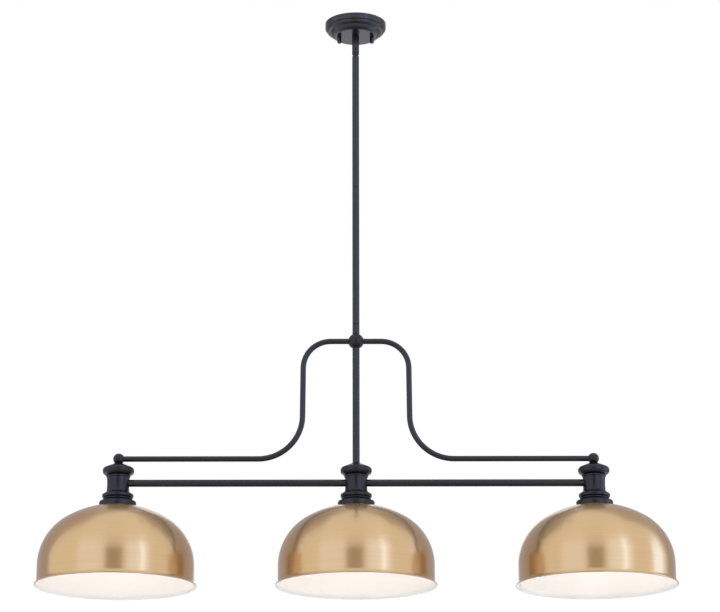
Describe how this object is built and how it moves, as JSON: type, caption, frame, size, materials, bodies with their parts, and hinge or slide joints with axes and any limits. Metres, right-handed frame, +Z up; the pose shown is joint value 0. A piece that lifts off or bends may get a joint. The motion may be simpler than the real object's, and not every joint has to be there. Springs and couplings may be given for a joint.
{
  "type": "billiard light",
  "caption": "Ceiling light for a game table: a row of brushed-brass dome shades on black turned fitters, joined by bars and curved arms to a stem that swivels under a stepped canopy",
  "frame": {"origin": "middle of the canopy's rim and of the mounting strap's top, on the ceiling plane", "axes": "+Z points up into the ceiling, +X runs along the row of lights, the picture looks along +Y"},
  "size_m": [1.297, 0.327, 1.2212],
  "materials": {
    "satin_black": "satin",
    "brushed_brass": "brushed",
    "zinc": "zinc plated",
    "ground_green": "satin",
    "contact_brass": "bright",
    "socket_plastic": "matte",
    "terminal_plastic": "matte",
    "wire_cover": "matte",
    "bulb_metal": "satin",
    "bulb_glass": "frosted"
  },
  "bodies": {
    "ceiling": {"mounting_strap": "zinc", "crossbar": "zinc", "strap_screw": "zinc", "ground_screw": "ground_green", "canopy_studs": "zinc", "canopy": "satin_black"},
    "knob_left": {"canopy_knob_left": "satin_black"},
    "knob_right": {"canopy_knob_right": "satin_black"},
    "swivel": {"swivel_upper": "satin_black", "swivel_pin": "satin_black", "swivel_washer": "zinc", "swivel_locknut": "zinc"},
    "stem": {"swivel_lower": "satin_black", "stem_rod_upper": "satin_black", "stem_rod_lower": "satin_black", "stem_nipples": "zinc", "hub_collar": "satin_black", "hub_ball": "satin_black", "lower_stem": "satin_black", "arm_left": "satin_black", "arm_right": "satin_black", "end_ball_left": "satin_black", "end_ball_right": "satin_black", "bar_left": "satin_black", "bar_right": "satin_black", "fitter_nipples": "zinc", "fitter_locknuts": "zinc", "socket_contacts": "contact_brass", "wire_stem": "wire_cover", "wire_left": "wire_cover", "wire_right": "wire_cover", "terminal_block": "terminal_plastic", "fitter_cap_left": "satin_black", "fitter_body_left": "satin_black", "fitter_base_left": "satin_black", "socket_body_left": "socket_plastic", "socket_shell_left": "contact_brass", "shade_left": "brushed_brass", "shade_ring_left": "socket_plastic", "fitter_cap_centre": "satin_black", "fitter_body_centre": "satin_black", "fitter_base_centre": "satin_black", "socket_body_centre": "socket_plastic", "socket_shell_centre": "contact_brass", "shade_centre": "brushed_brass", "shade_ring_centre": "socket_plastic", "fitter_cap_right": "satin_black", "fitter_body_right": "satin_black", "fitter_base_right": "satin_black", "socket_body_right": "socket_plastic", "socket_shell_right": "contact_brass", "shade_right": "brushed_brass", "shade_ring_right": "socket_plastic"},
    "bulb_left": {"bulb_base_left": "bulb_metal", "bulb_glass_left": "bulb_glass"},
    "bulb_centre": {"bulb_base_centre": "bulb_metal", "bulb_glass_centre": "bulb_glass"},
    "bulb_right": {"bulb_base_right": "bulb_metal", "bulb_glass_right": "bulb_glass"}
  },
  "joints": [
    {"name": "knob_left_turn", "type": "hinge", "parent": "ceiling", "child": "knob_left", "pos_m": [-0.03492, 0, -0.0301], "axis": [0, 0, 1], "continuous": true},
    {"name": "knob_right_turn", "type": "hinge", "parent": "ceiling", "child": "knob_right", "pos_m": [0.03492, 0, -0.0301], "axis": [0, 0, 1], "continuous": true},
    {"name": "stem_turn", "type": "hinge", "parent": "ceiling", "child": "swivel", "pos_m": [0, 0, -0.0301], "axis": [0, 0, 1], "range_deg": [-180, 180]},
    {"name": "stem_tilt", "type": "hinge", "parent": "swivel", "child": "stem", "pos_m": [0, 0, -0.0605], "axis": [0, 1, 0], "range_deg": [-45, 45]},
    {"name": "bulb_left_turn", "type": "hinge", "parent": "stem", "child": "bulb_left", "pos_m": [-0.485, 0, -1.0758], "axis": [0, 0, 1], "continuous": true},
    {"name": "bulb_centre_turn", "type": "hinge", "parent": "stem", "child": "bulb_centre", "pos_m": [0, 0, -1.0758], "axis": [0, 0, 1], "continuous": true},
    {"name": "bulb_right_turn", "type": "hinge", "parent": "stem", "child": "bulb_right", "pos_m": [0.485, 0, -1.0758], "axis": [0, 0, 1], "continuous": true}
  ]
}
